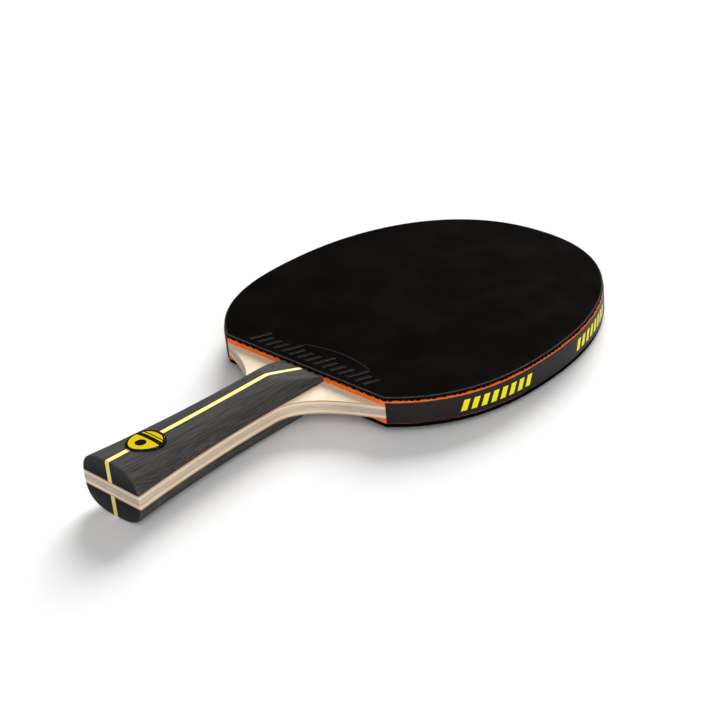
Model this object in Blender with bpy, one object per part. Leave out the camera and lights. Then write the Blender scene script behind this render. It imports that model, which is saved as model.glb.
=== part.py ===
"""A table tennis paddle with a flared handle, built as the layers and strips it is glued up from.

The blade is five-ply wood: a core, two inner plies and two outer veneers. Each face carries a rubber,
which is a sponge under a sheet whose short pimples point inwards. One tape runs round the head's edge.
Each side of the handle is a scale made of a left half, a coloured stripe and a right half, and the front
one wears a badge: a printed plate under a clear dome.

Lengths are in metres. Drawing coordinates are measured from the butt: x across, y from the butt to the
tip, and z up from the middle of the blade. An empty carries them all to the frame of the model, whose
origin is under the middle of the paddle as it lies on its back scale.
"""

import math

import bmesh
import bpy
import numpy as np
from mathutils import Vector

# The head's outline. Each half is a superellipse, whose power is 2 for a plain ellipse.
HEAD_WIDTH = 0.150
HEAD_LENGTH = 0.1545  # from the rubbers' straight edge to the tip
WIDEST_FROM_TIP = 0.0925
TIP_POWER = 2.19
BASE_POWER = 2.32
STRAIGHT_EDGE = 0.0910  # length of the rubbers' straight edge

# The handle's outline
HANDLE_LENGTH = 0.1015  # from the butt to the rubbers' straight edge
BUTT_WIDTH = 0.0332
WAIST_WIDTH = 0.0236
WAIST_FROM_BUTT = 0.070
THROAT_WIDTH = 0.0246
BUTT_ROUND = 0.0008  # radius of the butt's rim

# The blade's shoulders, which run from the handle's sides out to the head
SHOULDER_DEPTH = 0.0280  # how far behind the straight edge they start
SHOULDER_ANGLE = math.radians(21.5)  # between a shoulder and the straight edge, where they meet
SHOULDER_REACH = 0.0142  # lengths of the curve's two handles
NECK_REACH = 0.0148

# The handle's section, an oval that is cut in two by the blade
GRIP_POWER = 2.85
BUTT_DEPTH = 0.0248
WAIST_DEPTH = 0.0226
THROAT_BEVEL = 0.0190  # length of the slope at the throat
THROAT_HEIGHT = 0.0023  # of a scale above the blade, at the rubber

# Layers, from the middle of the blade outwards
CORE_PLY = 0.0028
INNER_PLY = 0.0009
OUTER_PLY = 0.0005
SPONGE = 0.0019
TOPSHEET = 0.0017  # the sheet with its pimples

STRIPE_WIDTH = 0.0022
TAPE_WIDTH = 0.0093
TAPE_THICKNESS = 0.0003

BADGE_FROM_BUTT = 0.0185
BADGE_LENGTH = 0.0160
BADGE_WIDTH = 0.0155
BADGE_TAPER = 0.2  # how much wider than its middle the badge is towards the throat, as a share
BADGE_PLATE = 0.0003
BADGE_DOME = 0.0008

# Clearances
GLUE_LINE = 0.0001  # between faces that are glued together
END_GAP = 0.0003  # between a scale's end and the rubber

# How finely curves are divided
TIP_STEPS = 22
BASE_STEPS = 14
SHOULDER_STEPS = 14
SIDE_STEPS = 10
ROUND_STEPS = 3
SECTION_STEPS = 56  # round the handle's oval
BADGE_STEPS = 48

OVERSIZE = 2.0  # how much larger than the handle its cutters are

# Worked out from the sizes above
BLADE_THICKNESS = CORE_PLY + 2 * (INNER_PLY + OUTER_PLY) + 4 * GLUE_LINE
BLADE_FACE = BLADE_THICKNESS / 2
GLUED_BASE = BLADE_FACE + GLUE_LINE  # where the scales and the sponges start
TOPSHEET_BASE = GLUED_BASE + SPONGE + GLUE_LINE
WIDEST_Y = HANDLE_LENGTH + HEAD_LENGTH - WIDEST_FROM_TIP
NECK_Y = HANDLE_LENGTH - SHOULDER_DEPTH
TAPE_PROUD = GLUE_LINE + TAPE_THICKNESS
TOTAL_LENGTH = HANDLE_LENGTH + HEAD_LENGTH + TAPE_PROUD


def waisted(y, at_butt, at_waist, at_throat):
    """A size that narrows in a parabola from the butt to the waist, and widens in another to the throat."""
    if y < WAIST_FROM_BUTT:
        return at_waist + (at_butt - at_waist) * (1 - y / WAIST_FROM_BUTT) ** 2
    along = (y - WAIST_FROM_BUTT) / (HANDLE_LENGTH - WAIST_FROM_BUTT)
    return at_waist + (at_throat - at_waist) * along**2


def half_width(y):
    """Half the handle's width at the blade's faces, where scales and blade are flush."""
    return waisted(y, BUTT_WIDTH, WAIST_WIDTH, THROAT_WIDTH) / 2


def half_depth(y):
    """Half the handle's depth, from the middle of the blade to the ridge of a scale."""
    return waisted(y, BUTT_DEPTH, WAIST_DEPTH, WAIST_DEPTH) / 2


def quarter(half_across, reach, power, first, last, steps):
    """Points of a superellipse's quarter, from angle first to angle last: 0 is across, 90 degrees along."""
    angles = np.linspace(first, last, steps + 1)
    across = half_across * np.abs(np.cos(angles)) ** (2 / power)
    along = reach * np.abs(np.sin(angles)) ** (2 / power)
    return np.column_stack([across, along])


def head_side():
    """The head's right side, from the end of the straight edge round to the tip."""
    half, corner = HEAD_WIDTH / 2, STRAIGHT_EDGE / 2
    corner_angle = math.acos((corner / half) ** (BASE_POWER / 2))
    reach = (WIDEST_Y - HANDLE_LENGTH) / math.sin(corner_angle) ** (2 / BASE_POWER)
    base = quarter(half, reach, BASE_POWER, corner_angle, 0, BASE_STEPS) * (1, -1)
    tip = quarter(half, WIDEST_FROM_TIP, TIP_POWER, 0, math.pi / 2, TIP_STEPS)
    return np.vstack([base, tip[1:]]) + (0, WIDEST_Y)


def shoulder_side():
    """The right shoulder, a cubic curve from the handle's side to the end of the straight edge."""
    start = np.array([half_width(NECK_Y), NECK_Y])
    end = np.array([STRAIGHT_EDGE / 2, HANDLE_LENGTH])
    leaving = start + (0, NECK_REACH)
    slope = np.array([math.cos(SHOULDER_ANGLE), math.sin(SHOULDER_ANGLE)])
    arriving = end - slope * SHOULDER_REACH
    t = np.linspace(0, 1, SHOULDER_STEPS + 1)[:, None]
    return (1 - t) ** 3 * start + 3 * (1 - t) ** 2 * t * leaving + 3 * (1 - t) * t**2 * arriving + t**3 * end


def rounded_rim():
    """(how far from the butt, how far in from the full size) at each step round the butt's rim."""
    angles = np.linspace(0, math.pi / 2, ROUND_STEPS + 1)
    return [(BUTT_ROUND * (1 - math.cos(a)), BUTT_ROUND * (1 - math.sin(a))) for a in angles]


def handle_side():
    """The handle's right side, from the butt to the neck."""
    rim = [(half_width(y) - inset, y) for y, inset in rounded_rim()]
    side = [(half_width(y), y) for y in np.linspace(BUTT_ROUND, NECK_Y, SIDE_STEPS + 1)]
    return np.array(rim + side[1:])


def both_sides(right):
    """A path that ends on the axis, followed by its mirror image back on the left."""
    return np.vstack([right, right[-2::-1] * (-1, 1)])


def offset_outwards(path, distance):
    """An open path moved sideways, to its right as it is followed, by the same distance everywhere."""
    along = np.gradient(path, axis=0)
    along /= np.linalg.norm(along, axis=1)[:, None]
    return path + np.column_stack([along[:, 1], -along[:, 0]]) * distance


def head_path(distance=0.0):
    """The head's edge, from the right end of the straight edge over the tip to the left end."""
    return offset_outwards(both_sides(head_side()), distance)


def new_collection(name):
    collection = bpy.data.collections.new(name)
    bpy.context.scene.collection.children.link(collection)
    return collection


def new_material(name, colour, roughness, metallic=0.0, alpha=1.0):
    material = bpy.data.materials.new(name)
    material.use_nodes = True
    shader = material.node_tree.nodes["Principled BSDF"]
    shader.inputs["Base Color"].default_value = (*colour, 1.0)
    shader.inputs["Roughness"].default_value = roughness
    shader.inputs["Metallic"].default_value = metallic
    shader.inputs["Alpha"].default_value = alpha
    return material


def place(obj, collection, material=None, location=(0, 0, 0)):
    """Moves an object to its collection and, by its parent, to the drawing's coordinates."""
    for other in list(obj.users_collection):
        other.objects.unlink(obj)
    collection.objects.link(obj)
    obj.parent = paddle
    obj.location = location
    if material:
        obj.data.materials.append(material)
    return obj


def flat_piece(name, outline, thickness, middle_z, material):
    """A sheet cut to an outline: a filled 2D curve, extruded by half its thickness each way."""
    curve = bpy.data.curves.new(name, "CURVE")
    curve.dimensions = "2D"
    curve.fill_mode = "BOTH"
    curve.extrude = thickness / 2
    spline = curve.splines.new("POLY")
    spline.points.add(len(outline) - 1)
    for point, (x, y) in zip(spline.points, outline):
        point.co = (x, y, 0, 1)
    spline.use_cyclic_u = True
    return place(bpy.data.objects.new(name, curve), paddle_parts, material, (0, 0, middle_z))


def box(name, low, high, collection, material=None):
    """A box between two corners, from the cube primitive."""
    low, high = Vector(low), Vector(high)
    bpy.ops.mesh.primitive_cube_add(size=1)
    obj = bpy.context.object
    obj.name = obj.data.name = name
    obj.scale = high - low
    bpy.ops.object.transform_apply(location=False, rotation=False, scale=True)
    return place(obj, collection, material, (low + high) / 2)


def as_cutter(obj):
    obj.hide_render = True
    obj.display_type = "WIRE"
    return obj


def cut(obj, cutter, operation):
    modifier = obj.modifiers.new(f"{operation.lower()}_{cutter.name}", "BOOLEAN")
    modifier.operation = operation
    modifier.solver = "EXACT"
    modifier.object = cutter


def grip_section(y, grow):
    """One oval of the handle. Its width is set so that it passes through the edges of the blade's faces."""
    depth = half_depth(y)
    width = half_width(y) / (1 - (BLADE_FACE / depth) ** GRIP_POWER) ** (1 / GRIP_POWER)
    angles = np.arange(SECTION_STEPS) * 2 * math.pi / SECTION_STEPS
    across, up = np.cos(angles), np.sin(angles)
    x = (width + grow) * np.sign(across) * np.abs(across) ** (2 / GRIP_POWER)
    z = (depth + grow) * np.sign(up) * np.abs(up) ** (2 / GRIP_POWER)
    return x, z


def grip_blank(name, grow=0.0):
    """The whole handle as one solid, a loft of ovals from the butt to the rubbers. It cuts the scales."""
    stations = [(y, grow - inset) for y, inset in rounded_rim()]
    end = HANDLE_LENGTH - END_GAP
    stations += [(y, grow) for y in np.linspace(BUTT_ROUND, end, 2 * SIDE_STEPS + 1)[1:]]
    mesh = bmesh.new()
    rings = []
    for y, more in stations:
        x, z = grip_section(y, more)
        rings.append([mesh.verts.new((x[i], y, z[i])) for i in range(SECTION_STEPS)])
    for ring, following in zip(rings, rings[1:]):
        for i in range(SECTION_STEPS):
            j = (i + 1) % SECTION_STEPS
            mesh.faces.new((ring[i], ring[j], following[j], following[i]))
    mesh.faces.new(rings[0])
    mesh.faces.new(rings[-1])
    bmesh.ops.recalc_face_normals(mesh, faces=mesh.faces)
    data = bpy.data.meshes.new(name)
    mesh.to_mesh(data)
    mesh.free()
    return as_cutter(place(bpy.data.objects.new(name, data), cutters))


def throat_wedge(side, facing):
    """A cutter whose inner face is the slope at the throat of one side. Facing is 1 in front, -1 behind."""
    ridge_y = HANDLE_LENGTH - THROAT_BEVEL
    ridge_z = half_depth(ridge_y)
    slope = math.atan2(ridge_z - GLUED_BASE - THROAT_HEIGHT, THROAT_BEVEL)
    half = OVERSIZE * HANDLE_LENGTH / 2
    wedge = box(f"{side}_throat_wedge", (-half, -half, -half), (half, half, half), cutters)
    outwards = Vector((0, math.sin(slope), facing * math.cos(slope)))
    wedge.location = Vector((0, ridge_y, facing * ridge_z)) + outwards * half
    wedge.rotation_euler.x = -facing * slope
    return as_cutter(wedge)


def scale_strips(side, facing, blank):
    """One scale as the three strips it is glued up from."""
    wedge = throat_wedge(side, facing)
    inner, outer = STRIPE_WIDTH / 2, OVERSIZE * BUTT_WIDTH
    strips = {
        f"{side}_left_scale": (-outer, -inner - GLUE_LINE, stained_wood),
        f"{side}_stripe": (-inner, inner, yellow_veneer),
        f"{side}_right_scale": (inner + GLUE_LINE, outer, stained_wood),
    }
    for name, (x_from, x_to, material) in strips.items():
        heights = sorted([facing * GLUED_BASE, facing * OVERSIZE * BUTT_DEPTH])
        low = (x_from, -BUTT_WIDTH, heights[0])
        high = (x_to, OVERSIZE * HANDLE_LENGTH, heights[1])
        strip = box(name, low, high, paddle_parts, material)
        cut(strip, blank, "INTERSECT")
        cut(strip, wedge, "DIFFERENCE")


def blade():
    """The five plies, all cut to one outline."""
    outline = both_sides(np.vstack([handle_side(), shoulder_side()[1:], head_side()[1:]]))
    flat_piece("core_ply", outline, CORE_PLY, 0, pale_wood)
    inner_z = CORE_PLY / 2 + GLUE_LINE + INNER_PLY / 2
    outer_z = BLADE_FACE - OUTER_PLY / 2
    for side, facing in SIDES:
        flat_piece(f"{side}_inner_ply", outline, INNER_PLY, facing * inner_z, pale_wood)
        flat_piece(f"{side}_outer_ply", outline, OUTER_PLY, facing * outer_z, veneer_wood)


def rubbers():
    """On each face a sponge under a topsheet, both trimmed to the head's outline."""
    for side, facing in SIDES:
        sponge_z = facing * (GLUED_BASE + SPONGE / 2)
        sheet_z = facing * (TOPSHEET_BASE + TOPSHEET / 2)
        flat_piece(f"{side}_sponge", head_path(), SPONGE, sponge_z, orange_sponge)
        flat_piece(f"{side}_topsheet", head_path(), TOPSHEET, sheet_z, black_rubber)


def edge_tape():
    """A band round the head, over the blade's edge and most of each sponge's."""
    band = np.vstack([head_path(TAPE_PROUD), head_path(GLUE_LINE)[::-1]])
    flat_piece("edge_tape", band, TAPE_WIDTH, 0, tape_vinyl)


def badge_disc(name, material):
    """An upright cylinder with the badge's egg-shaped outline, narrower towards the butt."""
    bpy.ops.mesh.primitive_cylinder_add(vertices=BADGE_STEPS, radius=0.5, depth=1)
    disc = bpy.context.object
    disc.name = disc.data.name = name
    disc.scale = (BADGE_WIDTH, BADGE_LENGTH, BUTT_DEPTH)
    bpy.ops.object.transform_apply(location=False, rotation=False, scale=True)
    for vertex in disc.data.vertices:
        vertex.co.x *= 1 + BADGE_TAPER * vertex.co.y / (BADGE_LENGTH / 2)
    return place(disc, paddle_parts, material, (0, BADGE_FROM_BUTT, BUTT_DEPTH / 2 + BLADE_FACE))


def badge():
    """A printed plate and a clear dome, both bent over the front scale, so each is cut between two blanks."""
    plate_base, plate_top = GLUE_LINE, GLUE_LINE + BADGE_PLATE
    dome_base = plate_top + GLUE_LINE
    layers = {
        "badge_plate": (plate_base, plate_top, badge_print),
        "badge_dome": (dome_base, dome_base + BADGE_DOME, clear_resin),
    }
    for name, (base, top, material) in layers.items():
        disc = badge_disc(name, material)
        cut(disc, grip_blank(f"{name}_outside", top), "INTERSECT")
        cut(disc, grip_blank(f"{name}_inside", base), "DIFFERENCE")


for leftover in list(bpy.data.objects):
    bpy.data.objects.remove(leftover)

SIDES = (("front", 1), ("back", -1))
paddle_parts = new_collection("table_tennis_paddle")
cutters = new_collection("cutters")
paddle = bpy.data.objects.new("paddle", None)
paddle.location = (0, -TOTAL_LENGTH / 2, BUTT_DEPTH / 2)
paddle_parts.objects.link(paddle)

pale_wood = new_material("pale_wood", (0.62, 0.52, 0.40), 0.6)
veneer_wood = new_material("veneer_wood", (0.72, 0.56, 0.38), 0.55)
stained_wood = new_material("stained_wood", (0.045, 0.045, 0.048), 0.5)
yellow_veneer = new_material("yellow_veneer", (0.86, 0.72, 0.20), 0.5)
orange_sponge = new_material("orange_sponge", (0.80, 0.16, 0.02), 0.9)
black_rubber = new_material("black_rubber", (0.008, 0.007, 0.006), 0.4)
tape_vinyl = new_material("tape_vinyl", (0.022, 0.018, 0.017), 0.45)
badge_print = new_material("badge_print", (0.85, 0.68, 0.01), 0.4)
clear_resin = new_material("clear_resin", (0.95, 0.95, 0.95), 0.05, alpha=0.2)

blade()
rubbers()
edge_tape()
grip = grip_blank("grip_blank")
for side_name, side_facing in SIDES:
    scale_strips(side_name, side_facing, grip)
badge()
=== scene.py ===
# %% [markdown]
# # A table tennis paddle
#
# This lesson builds one paddle from the layers it is glued up from: five plies of wood, two handle scales,
# two rubbers, a tape round the head and a small domed badge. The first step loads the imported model. It
# fixes every size and place, so each new piece is worked out inside the solid that it stands for.

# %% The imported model
import math

import bmesh
import bpy
import numpy as np
from mathutils import Matrix, Vector


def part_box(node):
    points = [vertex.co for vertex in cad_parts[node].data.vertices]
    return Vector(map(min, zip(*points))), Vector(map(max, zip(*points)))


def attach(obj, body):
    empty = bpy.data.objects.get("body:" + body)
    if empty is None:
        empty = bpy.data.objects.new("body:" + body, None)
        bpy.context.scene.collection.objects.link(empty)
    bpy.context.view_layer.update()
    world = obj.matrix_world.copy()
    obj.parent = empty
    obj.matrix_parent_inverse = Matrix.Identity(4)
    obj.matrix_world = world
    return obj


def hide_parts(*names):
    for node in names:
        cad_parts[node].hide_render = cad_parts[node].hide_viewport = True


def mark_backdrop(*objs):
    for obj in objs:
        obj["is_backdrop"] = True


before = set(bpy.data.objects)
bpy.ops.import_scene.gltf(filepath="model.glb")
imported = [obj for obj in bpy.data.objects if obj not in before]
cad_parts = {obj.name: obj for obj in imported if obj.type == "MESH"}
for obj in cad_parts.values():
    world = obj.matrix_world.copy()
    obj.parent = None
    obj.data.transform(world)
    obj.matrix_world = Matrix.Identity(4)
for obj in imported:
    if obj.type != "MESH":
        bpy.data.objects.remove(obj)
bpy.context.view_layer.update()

# %% [markdown]
# ## Drawing coordinates
#
# A paddle is symmetric, so it is easiest to draw in millimetres: x across, y from the butt of the handle to
# the tip, and z up from the middle of the blade. One function carries such points to metres and to the
# model's own place, which it reads from the core ply.

# %% From millimetres to the model
MM = 0.001
core_low, core_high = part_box("core_ply")
BUTT = np.array([0.0, core_low.y, (core_low.z + core_high.z) / 2])


def to_model(points):
    """Millimetres times 0.001, moved to where the middle of the butt is in the model."""
    return np.asarray(points) * MM + BUTT


def levels(node):
    """A node's lowest and highest z, in drawing millimetres."""
    low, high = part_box(node)
    return (low.z - BUTT[2]) / MM, (high.z - BUTT[2]) / MM


sheet_low, sheet_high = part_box("front_topsheet")
STRAIGHT_EDGE_Y = (sheet_low.y - BUTT[1]) / MM
TIP_Y = (sheet_high.y - BUTT[1]) / MM
HEAD_HALF = sheet_high.x / MM
print(f"straight edge at {STRAIGHT_EDGE_Y:.1f}, tip at {TIP_Y:.1f}, head {2 * HEAD_HALF:.1f} wide")

# %% [markdown]
# ## The outline of the head
#
# The head is two superellipse quarters on each side. A superellipse is an ellipse whose power may differ
# from 2: a higher power gives fuller corners. The lower quarter is cut off by the straight edge of the
# rubbers. Because it is a formula, the outline can be as fine as needed, and it can also say whether any
# point is inside, which trims the pimples later.

# %% The head's side
WIDEST_FROM_TIP = 92.5
WIDEST_Y = TIP_Y - WIDEST_FROM_TIP
CORNER_X = 45.5
TIP_POWER = 2.19
BASE_POWER = 2.32
BASE_ANGLE = math.acos((CORNER_X / HEAD_HALF) ** (BASE_POWER / 2))
BASE_REACH = (WIDEST_Y - STRAIGHT_EDGE_Y) / math.sin(BASE_ANGLE) ** (2 / BASE_POWER)


def quarter(reach, power, angles):
    """x = half width times cos to the power 2/p, y = reach times sin to the power 2/p."""
    across = HEAD_HALF * np.abs(np.cos(angles)) ** (2 / power)
    along = reach * np.abs(np.sin(angles)) ** (2 / power)
    return np.column_stack([across, along])


def head_side(base_steps=26, tip_steps=72):
    """The head's right side as points, from the straight edge's end round to the tip."""
    base = quarter(BASE_REACH, BASE_POWER, np.linspace(BASE_ANGLE, 0, base_steps + 1)) * (1, -1)
    tip = quarter(TIP_Y - WIDEST_Y, TIP_POWER, np.linspace(0, math.pi / 2, tip_steps + 1))
    return np.vstack([base, tip[1:]]) + (0, WIDEST_Y)


def inside_head(points, margin=0.0):
    """Whether each point is inside: |x/a|^p + |y/b|^p is below 1, and y is past the straight edge."""
    x, y = np.abs(points[..., 0]), points[..., 1] - WIDEST_Y
    reach = np.where(y > 0, TIP_Y - WIDEST_Y, BASE_REACH) - margin
    power = np.where(y > 0, TIP_POWER, BASE_POWER)
    oval = (x / (HEAD_HALF - margin)) ** power + (np.abs(y) / reach) ** power
    return (oval < 1) & (points[..., 1] > STRAIGHT_EDGE_Y + margin)


print("the head's side has", len(head_side()), "points")

# %% [markdown]
# ## The outline of the handle
#
# A flared handle is wide at the butt, narrow at the waist and a little wider at the throat. A parabola on
# each side of the waist gives that. The shoulders, where the blade widens into the head, are one cubic
# curve. Its end meets the head at a corner, which sandpaper has softened.

# %% The handle's width and depth, and the shoulders
WAIST_Y = 70.0
NECK_Y = 73.5
RIM_RADIUS = 0.8
WIDTHS = (33.2, 23.6, 24.6)
DEPTHS = (24.8, 22.6, 22.6)
SHOULDER_ANGLE = math.radians(21.5)
SHOULDER_LEAVES = 14.8
SHOULDER_ARRIVES = 14.2


def waisted(y, at_butt, at_waist, at_throat):
    """A size that follows a parabola from the butt to the waist and another from there to the throat."""
    near = at_waist + (at_butt - at_waist) * (1 - y / WAIST_Y) ** 2
    far = at_waist + (at_throat - at_waist) * ((y - WAIST_Y) / (STRAIGHT_EDGE_Y - WAIST_Y)) ** 2
    return np.where(y < WAIST_Y, near, far)


def half_width(y):
    """Half of the handle's width at y."""
    return waisted(y, *WIDTHS) / 2


def half_depth(y):
    """Half of the handle's depth at y."""
    return waisted(y, *DEPTHS) / 2


def butt_rim(steps=6):
    """A quarter circle round the butt's rim: distance from the butt, and how far in from full size."""
    angles = np.linspace(0, math.pi / 2, steps + 1)
    return RIM_RADIUS * (1 - np.cos(angles)), RIM_RADIUS * (1 - np.sin(angles))


def shoulder(steps=30):
    """A cubic curve that leaves the handle's side along y and arrives at the head's corner at an angle."""
    start = np.array([float(half_width(NECK_Y)), NECK_Y])
    end = np.array([CORNER_X, STRAIGHT_EDGE_Y])
    leaving = start + (0, SHOULDER_LEAVES)
    arriving = end - np.array([math.cos(SHOULDER_ANGLE), math.sin(SHOULDER_ANGLE)]) * SHOULDER_ARRIVES
    t = np.linspace(0, 1, steps + 1)[:, None]
    return (1 - t) ** 3 * start + 3 * (1 - t) ** 2 * t * leaving + 3 * (1 - t) * t**2 * arriving + t**3 * end


def point_at(path, distance):
    """Points of an open path at distances along it, between its own points in straight lines."""
    steps = np.linalg.norm(np.diff(path, axis=0), axis=1)
    run = np.concatenate([[0], np.cumsum(steps)])
    return np.column_stack([np.interp(distance, run, path[:, axis]) for axis in range(path.shape[1])])


def softened_join(first, second, reach=0.7, steps=6):
    """Two paths joined by a quadratic curve that leaves reach before their corner and ends reach after."""
    before = point_at(first[::-1], [reach])[0]
    after = point_at(second, [reach])[0]
    t = np.linspace(0, 1, steps + 1)[:, None]
    bend = (1 - t) ** 2 * before + 2 * (1 - t) * t * first[-1] + t**2 * after
    kept_first = first[np.linalg.norm(first - first[-1], axis=1) > reach * 1.1]
    kept_second = second[np.linalg.norm(second - second[0], axis=1) > reach * 1.1]
    return np.vstack([kept_first, bend, kept_second])


def blade_side():
    """The blade's right side: the butt's rim, the handle, the shoulder and the head."""
    from_butt, inwards = butt_rim()
    rim = np.column_stack([half_width(from_butt) - inwards, from_butt])
    y = np.linspace(RIM_RADIUS, NECK_Y, 40)[1:]
    handle = np.column_stack([half_width(y), y])
    return softened_join(np.vstack([rim, handle, shoulder()[1:]]), head_side())


print("the blade's side has", len(blade_side()), "points")

# %% [markdown]
# ## From grids to a mesh
#
# Every piece here is a few grids of points. Neighbouring points make four-sided faces, and grids that share
# an edge are welded there, which also closes poles. A point may carry more numbers after its place, such as
# its wear and painted highlight: they become attributes that a material can read.

# %% Making a piece
WELD = 0.000002
SHARP_EDGE = 35.0
ROUNDED_EDGE = 50.0
pieces = bpy.data.collections.new("paddle_pieces")
bpy.context.scene.collection.children.link(pieces)


def quads(rows, columns, first):
    """Corner numbers of the faces between neighbouring rows and columns."""
    index = first + np.arange(rows * columns).reshape(rows, columns)
    corners = [index[:-1, :-1], index[1:, :-1], index[1:, 1:], index[:-1, 1:]]
    return np.stack(corners, axis=-1).reshape(-1, 4)


def grids_to_mesh(name, grids, fields=()):
    """One mesh from grids of points: welded, with its faces turned outwards, and smooth but for its edges."""
    width = 3 + len(fields)
    points = np.vstack([grid.reshape(-1, width) for grid in grids])
    firsts = np.cumsum([0] + [grid.shape[0] * grid.shape[1] for grid in grids])
    faces = np.vstack([quads(*grid.shape[:2], first) for grid, first in zip(grids, firsts)])
    mesh = bpy.data.meshes.new(name)
    mesh.from_pydata(to_model(points[:, :3]).tolist(), [], faces.tolist())
    for column, field in enumerate(fields, start=3):
        values = np.ascontiguousarray(points[:, column], dtype=np.float32)
        mesh.attributes.new(field, "FLOAT", "POINT").data.foreach_set("value", values)
    merged = bmesh.new()
    merged.from_mesh(mesh)
    bmesh.ops.remove_doubles(merged, verts=merged.verts, dist=WELD)
    bmesh.ops.recalc_face_normals(merged, faces=merged.faces)
    merged.to_mesh(mesh)
    merged.free()
    return mesh


def add_piece(name, grids, node, material, fields=(), sharp=SHARP_EDGE):
    """A finished piece that rides on the paddle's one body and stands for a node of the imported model."""
    mesh = grids_to_mesh(name, grids, fields)
    mesh.shade_smooth()
    mesh.set_sharp_from_angle(angle=math.radians(sharp))
    mesh.materials.append(material)
    piece = bpy.data.objects.new(name, mesh)
    pieces.objects.link(piece)
    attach(piece, "root")
    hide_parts(node)
    print(f"{name}: {len(mesh.vertices)} points, {len(mesh.polygons)} faces")
    return piece


# %% [markdown]
# ## Two ways to close a surface
#
# A plate is anything cut from a sheet: its edge profile is carried round the outline, and its two faces are
# rows from side to side. Where the outline moves inwards, each point goes along the bisector of its two
# edges, so corners stay sharp. A slab is two grids, one above the other, with strips between their borders.

# %% Plates and slabs
def inset(loop, distance):
    """A closed loop moved inwards: the sum of two edge directions, turned left, times 2d over its square."""
    along = np.roll(loop, -1, axis=0) - loop
    along /= np.linalg.norm(along, axis=1, keepdims=True)
    both = along + np.roll(along, 1, axis=0)
    inwards = np.column_stack([-both[:, 1], both[:, 0]])
    return loop + inwards * (2 * distance / (both**2).sum(axis=1, keepdims=True))


def plate(side, profile, columns=30):
    """Grids of a closed plate. The profile is rows of inset, height and a wear-and-highlight number, from the
    back to the front.
    """
    count = len(side)
    shares = np.linspace(1, -1, columns + 1)
    first_row = np.column_stack([shares[::-1][1:-1] * side[0, 0], np.full(columns - 1, side[0, 1])])
    loop = np.vstack([side, side[-2::-1] * (-1, 1), first_row])
    rings = []
    for distance, height, wear_and_highlight in profile:
        ends = np.full((len(loop), 1), height), np.full((len(loop), 1), wear_and_highlight)
        rings.append(np.hstack([inset(loop, distance), *ends]))

    def lid(ring):
        rows = np.repeat(ring[:count, None, :], columns + 1, axis=1)
        rows[:, :, 0] *= shares
        rows[0, 1:-1] = ring[2 * count - 1 :][::-1]
        return rows

    wall = np.stack([np.vstack([ring, ring[:1]]) for ring in rings])
    return [lid(rings[0]), wall, lid(rings[-1])]


def slab(top, base):
    """Two grids of one size, and the four strips between their borders."""
    strips = [np.stack([top[end], base[end]]) for end in (0, -1)]
    strips += [np.stack([top[:, end], base[:, end]]) for end in (0, -1)]
    return [top, base, *strips]


def mirrored(grids):
    """The same grids on the other face of the blade."""
    flip = np.ones(grids[0].shape[-1])
    flip[2] = -1
    return [grid * flip for grid in grids]


# %% [markdown]
# ## Small helpers for materials
#
# A material is a web of nodes. These helpers add one node and set or link its inputs in a single call, so
# the cells below can read like recipes. Colours are written as the usual 0 to 255 numbers and turned into
# the linear light that the shader works with.

# %% Nodes in one line
def colour(red, green, blue):
    """Linear light from 0 to 255 numbers: ((c + 0.055) / 1.055) ^ 2.4, or c / 12.92 near black."""
    c = np.array([red, green, blue]) / 255
    linear = np.where(c > 0.04045, ((c + 0.055) / 1.055) ** 2.4, c / 12.92)
    return (*linear.tolist(), 1.0)


def put(tree, socket, value):
    """Links a socket to another node's output, or sets it to a plain value."""
    if isinstance(value, bpy.types.NodeSocket):
        tree.links.new(value, socket)
    else:
        socket.default_value = value


def add(tree, kind, values=None, **settings):
    """One node with its settings, and its inputs by name or number."""
    node = tree.nodes.new("ShaderNode" + kind)
    for name, value in settings.items():
        setattr(node, name, value)
    for name, value in (values or {}).items():
        put(tree, node.inputs[name], value)
    return node


def calc(tree, operation, *values, clamp=False):
    """A sum on numbers, as the Math node does it."""
    node = add(tree, "Math", dict(enumerate(values)), operation=operation, use_clamp=clamp)
    return node.outputs[0]


def between(tree, value, low, high, to_low=0.0, to_high=1.0):
    """A value carried smoothly from one range to another, and held at its ends."""
    values = {"Value": value, "From Min": low, "From Max": high, "To Min": to_low, "To Max": to_high}
    return add(tree, "MapRange", values, interpolation_type="SMOOTHSTEP").outputs[0]


def blend(tree, share, first, second, mode="MIX"):
    """Two colours mixed by a share from 0 to 1."""
    values = {0: share, 6: first, 7: second}
    node = add(tree, "Mix", values, data_type="RGBA", blend_type=mode, clamp_factor=True)
    return node.outputs[2]


def noise(tree, vector, scale, detail=3.0, roughness=0.55, distortion=0.0):
    """Soft random values from 0 to 1, with scale in spots per unit of the vector."""
    values = {"Vector": vector, "Scale": scale, "Detail": detail, "Roughness": roughness}
    return add(tree, "TexNoise", values | {"Distortion": distortion}).outputs[0]


def start_group(name, inputs, outputs):
    """A shader node group with named sockets, and its input and output nodes."""
    group = bpy.data.node_groups.new(name, "ShaderNodeTree")
    for socket, kind in inputs.items():
        group.interface.new_socket(socket, in_out="INPUT", socket_type="NodeSocket" + kind)
    for socket in outputs:
        group.interface.new_socket(socket, in_out="OUTPUT", socket_type="NodeSocketFloat")
    return group, group.nodes.new("NodeGroupInput").outputs, group.nodes.new("NodeGroupOutput").inputs


def use_group(tree, group, values):
    """Places a shared group in a material, sets its inputs and returns its outputs."""
    node = tree.nodes.new("ShaderNodeGroup")
    node.node_tree = group
    for name, value in values.items():
        put(tree, node.inputs[name], value)
    return node.outputs


def start_material(name):
    """A material with its node tree, its shader and the piece's own coordinates."""
    material = bpy.data.materials.new(name)
    material.use_nodes = True
    tree = material.node_tree
    place = add(tree, "TexCoord").outputs["Object"]
    return material, tree, tree.nodes["Principled BSDF"], place


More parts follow.
